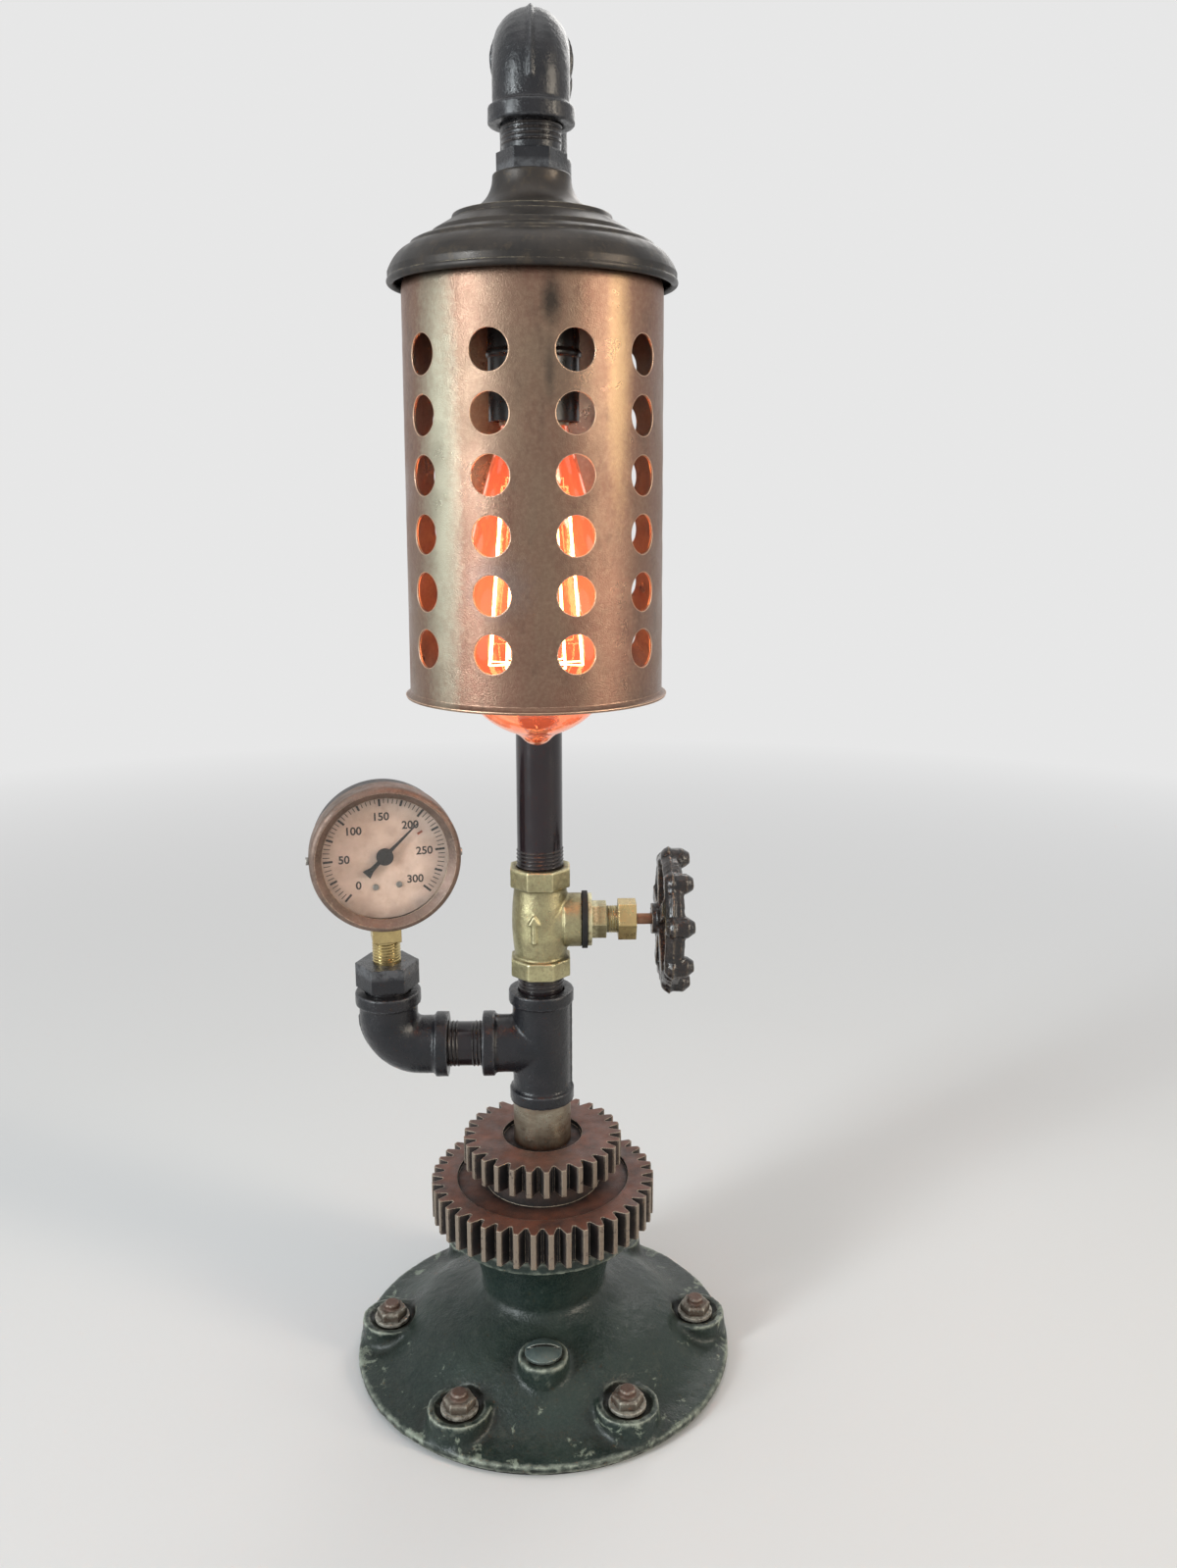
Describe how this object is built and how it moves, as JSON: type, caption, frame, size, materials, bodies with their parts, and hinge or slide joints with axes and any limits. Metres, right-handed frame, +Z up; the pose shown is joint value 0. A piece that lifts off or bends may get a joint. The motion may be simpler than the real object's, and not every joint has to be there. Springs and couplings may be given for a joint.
{
  "type": "pipe table lamp",
  "caption": "Table lamp of pipe fittings on a flanged cast base, with gears on the column, a dial gauge, a valve with handwheel, and a perforated shade hung from an arm.",
  "frame": {"origin": "middle of the felt's resting face, on the axis of the column", "axes": "+Z up along the column, -Y to the front where the arm and shade reach, +X to the handwheel"},
  "size_m": [0.2011, 0.2248, 0.5988],
  "materials": {
    "felt": "matt",
    "painted_casting": "aged paint over cast iron",
    "grommet_rubber": "matt",
    "rusty_steel": "rusted",
    "plug_iron": "worn",
    "gear_iron": "rusty faces, worn teeth",
    "zinc_steel": "zinc plated",
    "black_pipe": "glossy lacquer",
    "black_iron": "satin",
    "valve_brass": "dull yellow brass",
    "gasket_fibre": "matt",
    "wheel_iron": "chipped black paint",
    "stem_steel": "satin",
    "gauge_brass": "aged",
    "gauge_black": "satin",
    "bezel_bronze": "brown bronze",
    "clear_glass": "clear",
    "dial_white": "matt",
    "needle_black": "satin",
    "movement_brass": "bright",
    "cap_bronze": "gunmetal",
    "aged_brass": "mottled",
    "socket_black": "satin",
    "fibre_card": "matt",
    "porcelain": "glazed",
    "socket_brass": "bright",
    "amber_glass": "amber",
    "cap_nickel": "nickel",
    "black_glass": "glossy",
    "filament_wire": "glowing"
  },
  "bodies": {
    "lamp": {"base_felt": "felt", "base_casting": "painted_casting", "cord_grommet": "grommet_rubber", "bolt_washers": "rusty_steel", "flange_bolts": "rusty_steel", "filler_plug": "plug_iron", "lower_gear": "gear_iron", "upper_gear": "gear_iron", "pipe_collar": "zinc_steel", "locknut_washer": "zinc_steel", "column_locknut": "zinc_steel", "column_nipple": "black_pipe", "tee": "black_iron", "branch_nipple": "black_pipe", "gauge_elbow": "black_iron", "valve_nipple": "black_pipe", "riser_pipe": "black_pipe", "back_elbow": "black_iron", "arm_nipple": "black_pipe", "front_elbow": "black_iron", "valve_body": "valve_brass", "bonnet_gasket": "gasket_fibre", "valve_bonnet": "valve_brass", "packing_ring": "gasket_fibre", "packing_nut": "valve_brass", "gauge_bushing": "black_iron", "gauge_socket": "gauge_brass", "gauge_case": "gauge_black", "gauge_lens": "clear_glass", "gauge_bezel": "bezel_bronze", "bezel_screws": "stem_steel", "gauge_dial": "dial_white", "dial_screws": "stem_steel", "movement_frame": "movement_brass", "bourdon_tube": "movement_brass", "movement_link": "movement_brass", "top_bushing": "black_iron", "lamp_tube": "zinc_steel", "tube_nuts": "zinc_steel", "shade_cap": "cap_bronze", "shade": "aged_brass", "socket_cap": "socket_black", "socket_shell": "socket_black", "socket_liner": "fibre_card", "socket_insulator": "porcelain", "screw_shell": "socket_brass", "centre_contact": "socket_brass"},
    "valve_plug": {"valve_disc": "valve_brass"},
    "handwheel": {"valve_stem": "valve_brass", "handwheel": "wheel_iron", "wheel_nut": "stem_steel"},
    "needle": {"gauge_needle": "needle_black", "needle_arbor": "stem_steel"},
    "sector": {"sector_gear": "movement_brass"},
    "bulb": {"bulb_glass": "amber_glass", "bulb_base": "cap_nickel", "bulb_insulator": "black_glass", "bulb_button": "cap_nickel", "bulb_mount": "clear_glass", "bulb_filament": "filament_wire"}
  },
  "joints": [
    {"name": "valve_lift", "type": "slide", "parent": "lamp", "child": "valve_plug", "axis": [1, 0, 0], "range_m": [-0.004, 0.003]},
    {"name": "handwheel_turn", "type": "hinge", "parent": "valve_plug", "child": "handwheel", "pos_m": [0, 0, 0.229], "axis": [1, 0, 0], "range_deg": [-720, 540]},
    {"name": "needle_turn", "type": "hinge", "parent": "lamp", "child": "needle", "pos_m": [-0.0733, 0, 0.264], "axis": [-0.2079, 0.9781, 0], "range_deg": [-184.5, 85.5]},
    {"name": "sector_turn", "type": "hinge", "parent": "lamp", "child": "sector", "pos_m": [-0.0733, 0, 0.2496], "axis": [-0.2079, 0.9781, 0], "range_deg": [-17.2, 37]},
    {"name": "bulb_withdraw", "type": "slide", "parent": "lamp", "child": "bulb", "axis": [0, 0, -1], "range_m": [0, 0.026]}
  ],
  "couplings": [
    {"joint": "valve_lift", "follows": "handwheel_turn", "m_per_rad": 0.00031831},
    {"joint": "sector_turn", "follows": "needle_turn", "ratio": -0.2}
  ]
}
